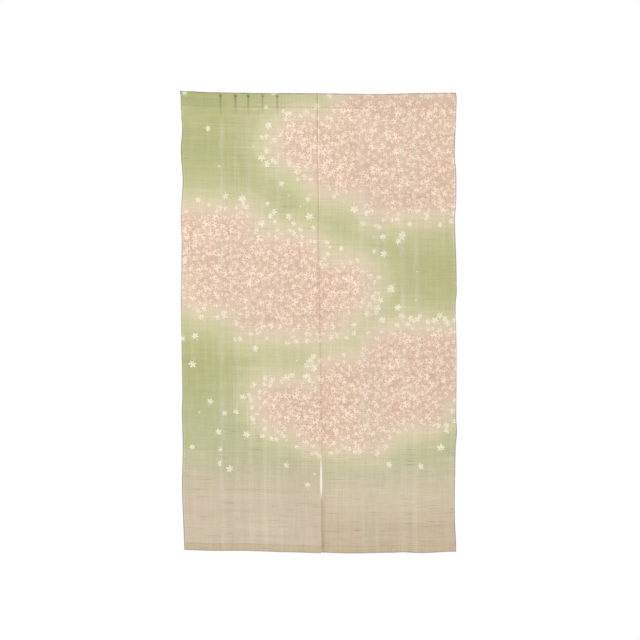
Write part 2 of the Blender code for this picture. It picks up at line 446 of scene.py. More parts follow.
def cloth_points(panel, columns, section):
    """Points of a panel's cloth at each row and column, and each point's distance down."""
    in_field = columns.in_field[None, :]
    down = section.down_hem[:, None] * (1.0 - in_field) + section.down_field[:, None] * in_field
    back = section.back_hem[:, None] * (1.0 - in_field) + section.back_field[:, None] * in_field
    share = columns.share[None, :] + np.zeros_like(down)
    left = panel.left_edge(down)
    across = left + (panel.right_edge(down) - left) * share
    turn = section.turn[:, None]
    sink = columns.sink[None, :]
    depth = CLOTH_PLANE + drape(panel, share, down) + relief(panel, across, share, down)
    depth = depth + back + np.cos(turn) * sink
    up = height(across, down) + np.sin(turn) * sink
    return np.stack([across, depth, up], axis=-1), down


def new_mesh_object(name, points, edges, faces):
    mesh = bpy.data.meshes.new(name)
    mesh.from_pydata(points.reshape(-1, 3).tolist(), edges, faces)
    mesh.update()
    thing = bpy.data.objects.new(name, mesh)
    bpy.context.scene.collection.objects.link(thing)
    return thing


def write_attribute(mesh, name, vectors):
    attribute = mesh.attributes.new(name, "FLOAT_VECTOR", "POINT")
    attribute.data.foreach_set("vector", vectors.astype(np.float32).ravel())


def add_cloth(panel, material):
    """One panel: a thin sheet, folded at its pocket and hems, with its flat and edge coordinates."""
    section = sheet_section()
    columns = sheet_columns()
    points, down = cloth_points(panel, columns, section)
    rows, across = down.shape
    index = np.arange(rows * across).reshape(rows, across)
    corners = (index[:-1, :-1], index[1:, :-1], index[1:, 1:], index[:-1, 1:])
    faces = np.stack(corners, axis=-1).reshape(-1, 4).tolist()
    cloth = new_mesh_object(panel.name + "_cloth", points, [], faces)
    mesh = cloth.data
    flat_across = panel.flat_start + columns.flat[None, :] + np.zeros_like(down)
    flat_down = section.flat[:, None] + np.zeros_like(down)
    write_attribute(mesh, "flat_cloth", np.stack([flat_across, flat_down, np.zeros_like(down)], axis=-1))
    from_left = columns.share[None, :] * PANEL_WIDTH + np.zeros_like(down)
    from_right = PANEL_WIDTH - from_left
    from_sides = (from_left, from_right) if panel.slit_at_right else (from_right, from_left)
    write_attribute(mesh, "from_edge", np.stack([*from_sides, LENGTH - down], axis=-1))
    mesh.materials.append(material)
    mesh.shade_smooth()
    solidify = cloth.modifiers.new("hemp", "SOLIDIFY")
    solidify.thickness = HEMP
    solidify.offset = 0.0
    solidify.use_even_offset = False
    return cloth


def one_row(down, back_layers, turn):
    """A single row at a distance down, so many layers behind the front."""
    hem, field = back_layers
    columns = (down, down, hem * LAYER, field * LAYER, turn, down)
    return Section(*(np.array([value]) for value in columns))


def front_rows(downs):
    """Rows down the front of the cloth."""
    downs = np.array(downs)
    nought = np.zeros_like(downs)
    return Section(downs, downs, nought, nought, nought, downs)


def spread(start, stop, pitch):
    """Places from start to stop, about a pitch apart."""
    return np.linspace(start, stop, max(2, round(abs(stop - start) / pitch) + 1))


def chain(points, first):
    """Edges that join a run of points."""
    return [(first + i, first + i + 1) for i in range(len(points) - 1)]


# Geometry Nodes for sewing
def stitch_tree():
    """Stitches along the edges of a mesh, laid at a slant to them."""
    tree = bpy.data.node_groups.new("stitches", "GeometryNodeTree")
    tree.interface.new_socket("Geometry", in_out="INPUT", socket_type="NodeSocketGeometry")
    for name in ("Pitch", "Stitch Length", "Thread", "Slant"):
        tree.interface.new_socket(name, in_out="INPUT", socket_type="NodeSocketFloat")
    tree.interface.new_socket("Material", in_out="INPUT", socket_type="NodeSocketMaterial")
    tree.interface.new_socket("Geometry", in_out="OUTPUT", socket_type="NodeSocketGeometry")
    given = tree.nodes.new("NodeGroupInput").outputs
    result = tree.nodes.new("NodeGroupOutput").inputs
    line = add_node(tree, "GeometryNodeMeshToCurve", {"Mesh": given["Geometry"]})
    places = add_node(tree, "GeometryNodeResampleCurve",
                      {"Curve": line.outputs["Curve"], "Length": given["Pitch"]}, mode="LENGTH")
    thread = add_node(tree, "GeometryNodeMeshUVSphere",
                      {"Segments": THREAD_SIDES, "Rings": THREAD_RINGS, "Radius": 0.5})
    along = add_node(tree, "GeometryNodeInputTangent")
    aligned = add_node(tree, "FunctionNodeAlignRotationToVector", {"Vector": along.outputs[0]}, axis="X")
    about_depth = add_node(tree, "ShaderNodeCombineXYZ", {"Y": given["Slant"]})
    slant = add_node(tree, "FunctionNodeEulerToRotation", {"Euler": about_depth.outputs[0]})
    turns = {"Rotation": aligned.outputs[0], "Rotate By": slant.outputs[0]}
    turned = add_node(tree, "FunctionNodeRotateRotation", turns, rotation_space="GLOBAL")
    size = add_node(tree, "ShaderNodeCombineXYZ",
                    {"X": given["Stitch Length"], "Y": given["Thread"], "Z": given["Thread"]})
    placed = add_node(tree, "GeometryNodeInstanceOnPoints",
                      {"Points": places.outputs["Curve"], "Instance": thread.outputs["Mesh"],
                       "Rotation": turned.outputs[0], "Scale": size.outputs[0]})
    real = add_node(tree, "GeometryNodeRealizeInstances", {"Geometry": placed.outputs["Instances"]})
    smooth = add_node(tree, "GeometryNodeSetShadeSmooth", {"Geometry": real.outputs["Geometry"]})
    made = add_node(tree, "GeometryNodeSetMaterial",
                    {"Geometry": smooth.outputs["Geometry"], "Material": given["Material"]})
    join(tree, made.outputs["Geometry"], result["Geometry"])
    return tree


def add_stitches(name, runs, tree, material, pitch=STITCH_PITCH, length=STITCH_LENGTH, slant=0.0):
    """A piece of sewing: stitches along each run of points."""
    edges = []
    first = 0
    for run in runs:
        edges += chain(run, first)
        first += len(run)
    path = new_mesh_object(name + "_line", np.concatenate(runs), edges, [])
    modifier = path.modifiers.new("stitches", "NODES")
    modifier.node_group = tree
    values = {
        "Pitch": pitch, "Stitch Length": length, "Thread": THREAD, "Slant": slant, "Material": material}
    for socket in tree.interface.items_tree:
        if socket.in_out == "INPUT" and socket.name in values:
            modifier[socket.identifier] = values[socket.name]
    bpy.context.view_layer.update()
    evaluated = path.evaluated_get(bpy.context.evaluated_depsgraph_get())
    mesh = bpy.data.meshes.new_from_object(evaluated)
    mesh.name = name
    bpy.data.objects.remove(path)
    stitches = bpy.data.objects.new(name, mesh)
    bpy.context.scene.collection.objects.link(stitches)
    return stitches


def along_row(panel, down, layers, turn, shift=0.0):
    """A run of points across a panel, on the outside of its front or back."""
    insets = spread(SIDE_HEM / 2 + shift, PANEL_WIDTH - SIDE_HEM / 2, STITCH_PITCH)
    outside = -(HEMP / 2 + THREAD / 2 * (1.0 - THREAD_SUNK))
    columns = columns_at(insets, [outside] * len(insets), insets)
    return cloth_points(panel, columns, one_row(down, layers, turn))[0][0]


def along_side(panel, inset, start, stop, at_back, shift=0.0):
    """A run of points down a side hem, on its front or its back."""
    proud = HEMP / 2 + THREAD / 2 * (1.0 - THREAD_SUNK)
    sink = LAYER + proud if at_back else -proud
    columns = columns_at([inset], [sink], [inset])
    return cloth_points(panel, columns, front_rows(spread(start + shift, stop, STITCH_PITCH)))[0][:, 0]


def sew_panel(panel, tree, material):
    """The pocket's, the side hems' and the foot hem's stitches of one panel."""
    half = STITCH_PITCH / 2
    foot_down = LENGTH - FOOT_STITCHES
    pocket_runs = [
        along_row(panel, POCKET_STITCHES, FRONT, 0.0),
        along_row(panel, POCKET_STITCHES, BACK, -math.pi, half),
    ]
    foot_runs = [
        along_row(panel, foot_down, FRONT, 0.0),
        along_row(panel, foot_down, BACK, math.pi, half),
    ]
    side_runs = []
    for inset in (SIDE_STITCHES, PANEL_WIDTH - SIDE_STITCHES):
        for at_back in (False, True):
            shift = half if at_back else 0.0
            start = POCKET_HEIGHT + STITCH_PITCH
            side_runs.append(along_side(panel, inset, start, foot_down - half, at_back, shift))
    return [
        add_stitches(panel.name + "_pocket_stitches", pocket_runs, tree, material),
        add_stitches(panel.name + "_side_hem_stitches", side_runs, tree, material),
        add_stitches(panel.name + "_foot_hem_stitches", foot_runs, tree, material),
    ]


def sew_middle(panel, tree, thread, tack_thread):
    """The seam between the panels and the tack at its foot, on the cloth's front and back."""
    sewing = (
        ("seam_stitches", POCKET_HEIGHT / 4, thread, SEAM_PITCH, SEAM_STITCH, SEAM_SLANT),
        ("slit_tack", SEAM_LENGTH - TACK_HEIGHT, tack_thread, TACK_PITCH, TACK_WIDTH, math.pi / 2),
    )
    pieces = []
    for name, start, material, *stitch in sewing:
        runs = [along_side(panel, PANEL_WIDTH, start, SEAM_LENGTH, at_back) for at_back in (False, True)]
        pieces.append(add_stitches(name, runs, tree, material, *stitch))
    return pieces


# Shader nodes
def join(tree, value, socket):
    """Links an output to a socket, or sets the socket to a plain value."""
    if isinstance(value, bpy.types.NodeSocket):
        tree.links.new(value, socket)
    elif value is not None:
        socket.default_value = value


def add_node(tree, kind, inputs=None, **settings):
    node = tree.nodes.new(kind)
    for name, value in settings.items():
        setattr(node, name, value)
    for name, value in (inputs or {}).items():
        join(tree, value, node.inputs[name])
    return node


def sums(tree, operation, *values):
    """A Math node on plain numbers or outputs."""
    node = add_node(tree, "ShaderNodeMath", operation=operation)
    for value, socket in zip(values, node.inputs):
        join(tree, value, socket)
    return node.outputs[0]


def product(tree, *values):
    """Numbers or outputs multiplied together."""
    total = values[0]
    for value in values[1:]:
        total = sums(tree, "MULTIPLY", total, value)
    return total


def swing(tree, value):
    """How far a value from 0 to 1 lies above its middle."""
    return sums(tree, "SUBTRACT", value, 0.5)


def off_line(tree, value, line):
    """How far a value lies from a line, on either side of it."""
    return sums(tree, "ABSOLUTE", sums(tree, "SUBTRACT", value, line))


def vector_sums(tree, operation, *values):
    """A Vector Math node. DISTANCE, LENGTH and DOT_PRODUCT give a number."""
    node = add_node(tree, "ShaderNodeVectorMath", operation=operation)
    for value, socket in zip(values, node.inputs):
        join(tree, value, socket)
    return node.outputs["Value" if operation in ("DISTANCE", "LENGTH", "DOT_PRODUCT") else "Vector"]


def scaled(tree, vector, factor):
    """A colour or vector times a number."""
    node = add_node(tree, "ShaderNodeVectorMath", {"Vector": vector, "Scale": factor}, operation="SCALE")
    return node.outputs["Vector"]


def flattened(tree, vector):
    """A vector without its third part."""
    return vector_sums(tree, "MULTIPLY", vector, (1.0, 1.0, 0.0))


def turned_by(tree, vector, angle, invert=False):
    """A vector turned about Z."""
    inputs = {"Vector": vector, "Angle": angle}
    return add_node(tree, "ShaderNodeVectorRotate", inputs, rotation_type="Z_AXIS", invert=invert).outputs[0]


def parts_of(tree, vector):
    """X, Y and Z of a vector."""
    return add_node(tree, "ShaderNodeSeparateXYZ", {"Vector": vector}).outputs


def smooth(tree, value, start, stop, low=0.0, high=1.0):
    """A smooth step from low at start to high at stop."""
    inputs = {"Value": value, "From Min": start, "From Max": stop, "To Min": low, "To Max": high}
    return add_node(tree, "ShaderNodeMapRange", inputs, interpolation_type="SMOOTHSTEP").outputs["Result"]


def blend(tree, share, first, second, blend_type="MIX"):
    """Mixes two colours."""
    node = add_node(tree, "ShaderNodeMix", data_type="RGBA", blend_type=blend_type)
    colours = [socket for socket in node.inputs if socket.type == "RGBA"]
    join(tree, share, node.inputs[0])
    join(tree, first, colours[0])
    join(tree, second, colours[1])
    return next(socket for socket in node.outputs if socket.type == "RGBA")


def multiply_where(tree, share, colour, tone):
    """A colour that is multiplied by a tone as far as a mask says."""
    return blend(tree, 1.0, colour, blend(tree, share, WHITE, tone), "MULTIPLY")


def noise_at(tree, vector, detail, roughness=0.5):
    """Noise from 0 to 1."""
    inputs = {"Vector": vector, "Scale": 1.0, "Detail": detail, "Roughness": roughness}
    return add_node(tree, "ShaderNodeTexNoise", inputs).outputs["Fac"]


def texture(tree, place, waves, detail=2.0, roughness=0.5):
    """Noise from 0 to 1 with so many waves a metre along each axis."""
    return noise_at(tree, vector_sums(tree, "MULTIPLY", place, waves), detail, roughness)


def bending(tree, place, scale, detail):
    """A noise vector around nought, to bend a place with."""
    inputs = {"Vector": place, "Scale": scale, "Detail": detail}
    bend = add_node(tree, "ShaderNodeTexNoise", inputs).outputs["Color"]
    return vector_sums(tree, "SUBTRACT", bend, (0.5, 0.5, 0.5))


# Soft patches of noise: waves a metre along each axis, the noise's detail and roughness, and the values of
# the noise between which the mask goes from low to high
Patches = namedtuple("Patches", "waves detail roughness start stop low high", defaults=(0.0, 1.0))


def patchy_mask(tree, place, kind):
    """A mask of soft patches."""
    value = texture(tree, place, kind.waves, kind.detail, kind.roughness)
    return smooth(tree, value, kind.start, kind.stop, kind.low, kind.high)


def ramp(tree, value, stops):
    """A colour that changes along a value, from a table of values and colours."""
    low = stops[0][0]
    span = stops[-1][0] - low
    share = sums(tree, "DIVIDE", sums(tree, "SUBTRACT", value, low), span)
    node = add_node(tree, "ShaderNodeValToRGB", {"Fac": share})
    band = node.color_ramp
    band.interpolation = "EASE"
    while len(band.elements) < len(stops):
        band.elements.new(0.5)
    for element, (place, colour) in zip(band.elements, stops):
        element.position = (place - low) / span
        element.color = colour
    return node.outputs["Color"]


def new_group(name, vectors, numbers, outputs):
    """A shader node group that takes vectors and numbers and gives numbers, all named."""
    group = bpy.data.node_groups.new(name, "ShaderNodeTree")
    sockets = [(each, "INPUT", "NodeSocketVector") for each in vectors]
    sockets += [(each, "INPUT", "NodeSocketFloat") for each in numbers]
    sockets += [(each, "OUTPUT", "NodeSocketFloat") for each in outputs]
    for socket_name, way, kind in sockets:
        group.interface.new_socket(socket_name, in_out=way, socket_type=kind)
    given = group.nodes.new("NodeGroupInput").outputs
    result = group.nodes.new("NodeGroupOutput").inputs
    return group, given, result


def use_group(tree, group, inputs):
    """Places a node group and gives its outputs."""
    node = add_node(tree, "ShaderNodeGroup", node_tree=group)
    for name, value in inputs.items():
        join(tree, value, node.inputs[name])
    return node.outputs


# Dyes, as display levels from 0 to 255 under the scene's light
LIGHT_ON_CLOTH = 1.20
WHITE = (1.0, 1.0, 1.0, 1.0)


def linear_light(share):
    """The amount of light of a display level from 0 to 1, on the sRGB curve."""
    return share / 12.92 if share <= 0.04045 else ((share + 0.055) / 1.055) ** 2.4


def dye(red, green, blue):
    """The colour that shows as these display levels under the scene's light."""
    return (*(linear_light(level / 255) / LIGHT_ON_CLOTH for level in (red, green, blue)), 1.0)


# Bands of mist: round-ended bars that lie in steps, each from left to right at a distance down the cloth
Band = namedtuple("Band", "left right down radius")
MIST_BANDS = (
    Band(0.070, 0.560, 0.070, 0.056),
    Band(-0.110, 0.560, 0.160, 0.060),
    Band(-0.010, 0.560, 0.250, 0.058),
    Band(0.150, 0.560, 0.335, 0.046),
    Band(-0.560, -0.230, 0.455, 0.050),
    Band(-0.560, -0.010, 0.545, 0.060),
    Band(-0.430, 0.150, 0.635, 0.060),
    Band(-0.250, 0.060, 0.720, 0.046),
    Band(0.160, 0.560, 0.850, 0.052),
    Band(0.000, 0.560, 0.935, 0.058),
    Band(-0.190, 0.400, 1.020, 0.054),
    Band(-0.060, 0.210, 1.095, 0.040),
)
MIST_MERGE = 0.050
MIST_WANDER = 0.060
MIST_WAVES = 4.5

# Colour of the ground at a distance from the edge of the mist, below zero inside it. Pairs are such
# distances too, between which a colour comes in.
MIST_TONES = (
    (-0.050, dye(219, 191, 170)),
    (-0.010, dye(224, 198, 176)),
    (0.022, dye(226, 207, 180)),
    (0.048, dye(220, 208, 173)),
    (0.078, dye(208, 203, 160)),
    (0.115, dye(196, 195, 148)),
    (0.160, dye(188, 189, 138)),
    (0.220, dye(182, 184, 130)),
)
MIST_DEEP = dye(219, 186, 162)
DEEP_PATCHES = Patches((9.0, 14.0, 0.0), 3.0, 0.5, 0.42, 0.68)
DEEP_MIST = (0.0, -0.04)
WARM_GREEN = dye(202, 192, 146)
WARM_PATCHES = Patches((4.0, 7.0, 0.0), 3.0, 0.5, 0.44, 0.72, 0.0, 0.55)
AWAY_FROM_MIST = (0.03, 0.12)

# The foot of the cloth. Pairs are distances down between which a colour comes in.
FOOT_GREEN = dye(193, 194, 154)
FOOT_GREEN_ROWS = (0.90, 1.14)
FOOT_GREEN_STRENGTH = 0.8
FOOT_GROUND_LEFT = dye(210, 194, 170)
FOOT_GROUND_RIGHT = dye(214, 199, 173)
FOOT_ROWS = (1.120, 1.345)
FOOT_LOWEST_RIGHT = dye(204, 187, 160)
LOWEST_ROWS = (1.30, 1.44)
FOOT_WAVER = 0.10         # how far these rows waver, and in how many waves a metre
FOOT_WAVER_WAVES = (2.5, 22.0, 0.0)
RIGHT_PANEL = (-0.01, 0.01)    # places across where the left panel's colour gives way to the right one's
TIDE_DOWN = 1.314         # a pale line that the dye's edge has left
TIDE_HALF = 0.006
TIDE_STRENGTH = 0.7
TIDE_COLOUR = dye(222, 208, 182)


def mist_group():
    """Distance from the edge of the nearest mist band, below zero inside it."""
    group, given, result = new_group("mist_bands", ["Place"], [], ["Distance"])
    wander = scaled(group, bending(group, given["Place"], MIST_WAVES, detail=3.0), MIST_WANDER)
    place = flattened(group, vector_sums(group, "ADD", given["Place"], wander))
    nearest = None
    for band in MIST_BANDS:
        start = (band.left + band.radius, band.down, 0.0)
        stop = (band.right - band.radius, band.down, 0.0)
        axis = vector_sums(group, "MINIMUM", vector_sums(group, "MAXIMUM", place, start), stop)
        distance = sums(group, "SUBTRACT", vector_sums(group, "DISTANCE", place, axis), band.radius)
        nearest = distance if nearest is None else sums(group, "SMOOTH_MIN", nearest, distance, MIST_MERGE)
    join(group, nearest, result["Distance"])
    return group


# A small five-pointed leaf with a stem, in shares of its cell
LEAF_REACH = 0.52
LEAF_SPREAD = 0.72        # how freely the leaves lie in their cells
LEAF_SIZES = (0.84, 1.10)
LOBE_SPACING = 0.92
LOBE_VALLEY = 0.22
BASE_LOBE = 0.70          # length of a lobe beside the stem, as a share of the middle one's
NOTCH_WIDTH = 0.45        # the notch at the stem, as a share of a lobe's width and reach
NOTCH_REACH = 0.45
STEM_EDGE = (0.030, 0.010)    # half widths between which a stem fades in
STEM_LENGTH = 0.46
STEM_BOW = 0.35
SOFT_EDGE = 0.016
RIM_WIDTH = 0.105
VEIN_EDGE = (0.020, 0.004)
VEIN_SHOWS = 0.6
HEART_RADIUS = 0.115      # the darker place where a leaf's veins meet
TIP_FULLNESS = 0.58
LOWEST_LEAF = 1.37
LEAVES_THIN_OUT = 1.18
MIST_RIM = -0.01          # distance from the mist's edge at which the leaves start to thin out


def leaf_outline(group, leaf):
    """How far out a leaf's rim is at a place's angle, and how far that angle is from a lobe's middle."""
    sides = parts_of(group, leaf)
    angle = sums(group, "ABSOLUTE", sums(group, "ARCTAN2", sides["X"], sides["Y"]))
    off_lobe = sums(group, "PINGPONG", angle, LOBE_SPACING / 2)
    to_tip = sums(group, "SUBTRACT", 1.0, sums(group, "DIVIDE", off_lobe, LOBE_SPACING / 2))
    spike = sums(group, "POWER", to_tip, TIP_FULLNESS)
    last_lobe = 2 * LOBE_SPACING
    longest = smooth(group, angle, LOBE_SPACING / 2, last_lobe, 1.0, BASE_LOBE)
    notch = smooth(group, angle, last_lobe + LOBE_SPACING * NOTCH_WIDTH, last_lobe, NOTCH_REACH, 1.0)
    profile = sums(group, "ADD", product(group, spike, 1.0 - LOBE_VALLEY), LOBE_VALLEY)
    return product(group, profile, product(group, longest, notch), LEAF_REACH), off_lobe


def leaf_stem(group, leaf):
    """A mask of a leaf's bowed stem, below its middle."""
    sides = parts_of(group, leaf)
    bow = product(group, sides["Y"], sides["Y"], STEM_BOW)
    aside = sums(group, "ABSOLUTE", sums(group, "ADD", sides["X"], bow))
    below_middle = sums(group, "LESS_THAN", sides["Y"], 0.0)
    above_end = sums(group, "GREATER_THAN", sides["Y"], -STEM_LENGTH)
    return product(group, smooth(group, aside, *STEM_EDGE), below_middle, above_end)


def leaf_group(mist):
    """Small leaves strewn one to a cell, more of them in the mist than away from it."""
    numbers = ["Cell", "Seed", "In Mist", "Outside", "Reach", "Leaf Size"]
    outputs = ["Leaf", "Rim", "Chance", "Vein"]
    group, given, result = new_group("strewn_leaves", ["Place"], numbers, outputs)
    shift = add_node(group, "ShaderNodeCombineXYZ", {"X": given["Seed"], "Y": given["Seed"]}).outputs[0]
    cells = sums(group, "DIVIDE", 1.0, given["Cell"])
    turned = turned_by(group, given["Place"], given["Seed"])
    place = vector_sums(group, "ADD", scaled(group, turned, cells), shift)
    voronoi_inputs = {"Vector": place, "Scale": 1.0, "Randomness": LEAF_SPREAD}
    voronoi = add_node(group, "ShaderNodeTexVoronoi", voronoi_inputs, voronoi_dimensions="2D")
    chance = parts_of(group, voronoi.outputs["Color"])
    centre = voronoi.outputs["Position"]
    on_cloth = scaled(group, vector_sums(group, "SUBTRACT", centre, shift), given["Cell"])
    on_cloth = turned_by(group, on_cloth, given["Seed"], invert=True)
    distance = use_group(group, mist, {"Place": on_cloth})["Distance"]
    kept = smooth(group, distance, MIST_RIM, given["Reach"], given["In Mist"], given["Outside"])
    down = parts_of(group, on_cloth)["Y"]
    kept = product(group, kept, smooth(group, down, LOWEST_LEAF, LEAVES_THIN_OUT))
    shown = sums(group, "LESS_THAN", chance["Z"], kept)

    size = product(group, given["Leaf Size"], smooth(group, chance["Y"], 0.0, 1.0, *LEAF_SIZES))
    local = flattened(group, vector_sums(group, "SUBTRACT", place, centre))
    turn = product(group, chance["X"], 2.0 * math.pi)
    leaf = scaled(group, turned_by(group, local, turn), sums(group, "DIVIDE", 1.0, size))
    reach = vector_sums(group, "LENGTH", leaf)
    rim, off_lobe = leaf_outline(group, leaf)
    past_rim = sums(group, "SUBTRACT", reach, rim)
    blade = smooth(group, past_rim, SOFT_EDGE, -SOFT_EDGE)
    around = smooth(group, past_rim, RIM_WIDTH, SOFT_EDGE)
    vein = smooth(group, product(group, off_lobe, reach), *VEIN_EDGE, 0.0, VEIN_SHOWS)
    heart = smooth(group, reach, HEART_RADIUS, HEART_RADIUS / 2)
    join(group, product(group, sums(group, "MAXIMUM", blade, leaf_stem(group, leaf)), shown), result["Leaf"])
    join(group, product(group, around, shown), result["Rim"])
    join(group, chance["Y"], result["Chance"])
    join(group, sums(group, "MAXIMUM", vein, heart), result["Vein"])
    return group


# Weave. Each row is one kind of unevenness in the threads: its waves a metre across and down, how far
# it changes the tone, and whether it comes and goes over the cloth.
Unevenness = namedtuple("Unevenness", "across down strength comes_and_goes")
UNEVEN_THREADS = (
    Unevenness(3.0, 175.0, 0.21, True),
    Unevenness(180.0, 3.0, 0.18, True),
    Unevenness(1.2, 88.0, 0.12, True),
    Unevenness(24.0, 32.0, 0.09, False),
    Unevenness(46.0, 1.4, 0.11, True),
)
UNEVEN_ROUGHNESS = 0.6
COMING_AND_GOING = Patches((6.0, 13.0, 0.0), 2.0, 0.5, 0.36, 0.66, 0.40, 1.60)
THREAD_PITCH = 0.0009
THREAD_WANDER = 0.0010    # how far the threads bend aside, and in how many waves a metre
THREAD_BENDS = 90.0
THREAD_RUN = 9.0          # waves a metre along a single thread
THREAD_CHANGE = 0.73      # how far the noise moves from one thread to the next
THREAD_TONE = 0.40
THREAD_GAP = (0.30, 0.50)    # shares of the pitch, off a thread's middle, where the gap beside it comes in
THREAD_DIP = (0.28, 0.50)    # and, along the thread, the dip where it goes under
SLUB_RUN = 12.0
SLUB_CHANGE = 0.31
SLUB_NOISE = (0.64, 0.71)    # values of the noise between which a slub comes in
GAP_SHADE = 0.16           # painted shade between the threads
DIP_SHADE = 0.07           # and painted shade where a thread dips under
# Lifts the weave's tone to make up, on average, for its painted shade in gaps and dips
TONE_LIFT = 0.047
SLUB_TONE = 0.26
GAP_DEPTH = 0.6           # depths of gaps and dips and height of slubs, as shares of a thread's height
DIP_DEPTH = 0.3
SLUB_HEIGHT = 0.5


def thread_noise(tree, across, down):
    """Noise from 0 to 1 at a place that is given as two numbers."""
    place = add_node(tree, "ShaderNodeCombineXYZ", {"X": across, "Y": down}).outputs[0]
    return noise_at(tree, place, detail=1.0)


def weave_group():
    """Hemp's plain weave: uneven threads both ways, dark slubs along the weft, painted shade in the gaps and
    dips between threads, and the threads' height.
    """
    group, given, result = new_group("hemp_weave", ["Place"], ["Thread Pitch", "Slubs"], ["Tone", "Height"])
    place = given["Place"]
    sides = parts_of(group, place)
    bend = scaled(group, bending(group, place, THREAD_BENDS, detail=2.0), THREAD_WANDER)
    bent = vector_sums(group, "ADD", place, bend)
    counted = parts_of(group, scaled(group, bent, sums(group, "DIVIDE", 1.0, given["Thread Pitch"])))
    column = sums(group, "FLOOR", counted["X"])
    row = sums(group, "FLOOR", counted["Y"])
    half = product(group, sums(group, "ADD", column, row), 0.5)
    warp_on_top = product(group, sums(group, "FRACT", half), 2.0)

    def on_top(weft_value, warp_value):
        change = sums(group, "SUBTRACT", warp_value, weft_value)
        return sums(group, "MULTIPLY_ADD", change, warp_on_top, weft_value)

    run_across = product(group, sides["X"], THREAD_RUN)
    run_down = product(group, sides["Y"], THREAD_RUN)
    weft = thread_noise(group, run_across, product(group, row, THREAD_CHANGE))
    warp = thread_noise(group, product(group, column, THREAD_CHANGE), run_down)
    thread = on_top(weft, warp)
    share_across = sums(group, "FRACT", counted["X"])
    share_down = sums(group, "FRACT", counted["Y"])
    gap = smooth(group, off_line(group, on_top(share_down, share_across), 0.5), *THREAD_GAP)
    dip = smooth(group, off_line(group, on_top(share_across, share_down), 0.5), *THREAD_DIP)
    slub_noise = thread_noise(group, product(group, sides["X"], SLUB_RUN), product(group, row, SLUB_CHANGE))
    slub = smooth(group, slub_noise, *SLUB_NOISE)
    coming_and_going = patchy_mask(group, place, COMING_AND_GOING)

    tone = sums(group, "MULTIPLY_ADD", swing(group, thread), THREAD_TONE, 1.0 + TONE_LIFT)
    for kind in UNEVEN_THREADS:
        waves = (kind.across, kind.down, 0.0)
        value = texture(group, place, waves, detail=3.0, roughness=UNEVEN_ROUGHNESS)
        strength = product(group, coming_and_going, kind.strength) if kind.comes_and_goes else kind.strength
        tone = sums(group, "MULTIPLY_ADD", swing(group, value), strength, tone)
    # painted shade between the threads and where they dip under
    tone = sums(group, "MULTIPLY_ADD", gap, -GAP_SHADE, tone)
    tone = sums(group, "MULTIPLY_ADD", dip, -DIP_SHADE, tone)
    tone = sums(group, "MULTIPLY_ADD", product(group, slub, given["Slubs"]), -SLUB_TONE, tone)
    lift = sums(group, "MULTIPLY_ADD", gap, -GAP_DEPTH, thread)
    lift = sums(group, "MULTIPLY_ADD", dip, -DIP_DEPTH, lift)
    lift = sums(group, "MULTIPLY_ADD", slub, SLUB_HEIGHT, lift)
    join(group, tone, result["Tone"])
    join(group, lift, result["Height"])
    return group


# Streaks in the dye, which follow the warp: place across, and strengths from 0 to 1 of the pale streak and
# of the dark drip at its head
Streak = namedtuple("Streak", "across pale dark_head")
STREAKS = (
    Streak(-0.3175, 0.78, 0.95),
    Streak(-0.2686, 0.45, 1.00),
    Streak(-0.2268, 0.60, 0.98),
    Streak(-0.1795, 0.50, 0.78),
    Streak(-0.1322, 0.65, 0.82),
    Streak(0.1404, 0.90, 0.30),
    Streak(0.1610, 0.45, 0.00),
    Streak(0.1893, 0.70, 0.20),
    Streak(0.2160, 0.50, 0.00),
    Streak(0.2740, 0.90, 0.15),
    Streak(0.3157, 0.75, 0.15),
)
PALE_STREAK = dye(219, 214, 196)
PALE_STRENGTH = 0.42
DARK_DRIP = dye(118, 118, 70)
DARK_STRENGTH = 0.90
WORN_STREAKS = Patches((60.0, 9.0, 0.0), 4.0, 0.65, 0.32, 0.62)
STREAK_HALF = 0.0160
STREAK_WANDER = 0.0060    # how far a streak wanders aside, and in how many waves a metre
STREAK_WAVES = (14.0, 7.0, 0.0)
DRIP_EDGE = (0.0055, 0.001)    # half widths between which a drip fades in
HEAD_DOWN = 0.012
HEAD_EDGE = (0.0078, 0.00156)    # and distances between which its round head does
HEAD_FADE = 0.092
TAIL_STRENGTH = 0.60
PALE_START = 0.050
PALE_AT_DRIP = 0.25


def streak_group():
    """Faint pale streaks down the cloth, each with a darker drip below the top fold."""
    group, given, result = new_group("dye_streaks", ["Place"], [], ["Pale", "Dark"])
    sides = parts_of(group, given["Place"])
    flat = flattened(group, given["Place"])
    wander = swing(group, texture(group, flat, STREAK_WAVES, detail=3.0))
    wandered = sums(group, "MULTIPLY_ADD", wander, STREAK_WANDER, sides["X"])
    fade = smooth(group, sides["Y"], HEAD_FADE, HEAD_DOWN)
    below_top = smooth(group, sides["Y"], HEAD_DOWN / 3, HEAD_DOWN)
    tail = product(group, fade, below_top, TAIL_STRENGTH)
    pale = 0.0
    dark = 0.0
    for streak in STREAKS:
        aside = off_line(group, wandered, streak.across)
        pale = sums(group, "ADD", smooth(group, aside, STREAK_HALF, 0.0, 0.0, streak.pale), pale)
        head = vector_sums(group, "DISTANCE", flat, (streak.across, HEAD_DOWN, 0.0))
        drop = smooth(group, head, *HEAD_EDGE, 0.0, streak.dark_head)
        drip = product(group, smooth(group, aside, *DRIP_EDGE, 0.0, streak.dark_head), tail)
        dark = sums(group, "ADD", sums(group, "MAXIMUM", drop, drip), dark)
    below_drip = smooth(group, sides["Y"], PALE_START, HEAD_FADE + HEAD_DOWN, PALE_AT_DRIP, 1.0)
    worn = patchy_mask(group, flat, WORN_STREAKS)
    join(group, product(group, pale, worn, below_drip), result["Pale"])
    join(group, dark, result["Dark"])
    return group
